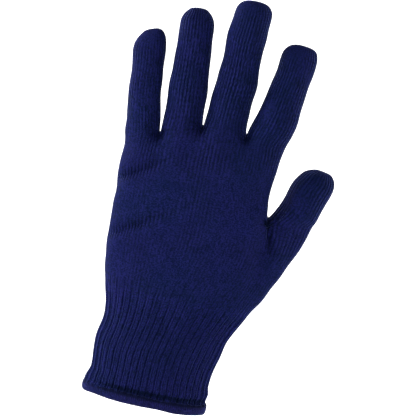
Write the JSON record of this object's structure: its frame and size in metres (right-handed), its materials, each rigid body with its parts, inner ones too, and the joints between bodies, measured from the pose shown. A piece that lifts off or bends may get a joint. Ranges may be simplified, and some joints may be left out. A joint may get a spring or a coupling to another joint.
{
  "type": "glove liner",
  "caption": "Seamless knitted glove liner for the left hand, with a long ribbed cuff that ends in a rolled hem, filled out as a hand wears it.",
  "frame": {"origin": "centre of the cuff's mouth, in the plane of the hem's lower edge, where the wrist goes in", "axes": "+Z along the arm to the fingertips, -Y out of the back of the hand, +X towards the thumb"},
  "size_m": [0.1349, 0.0431, 0.2493],
  "materials": {
    "palm_knit": "navy jersey knit with a soft fuzz, slightly mottled",
    "cuff_knit": "navy elastic rib knit",
    "hem_knit": "navy overedged roll of the rib knit"
  },
  "bodies": {
    "root": {"hem": "hem_knit", "cuff": "cuff_knit", "palm": "palm_knit", "thumb": "palm_knit", "index_finger": "palm_knit", "middle_finger": "palm_knit", "ring_finger": "palm_knit", "little_finger": "palm_knit"}
  },
  "joints": []
}
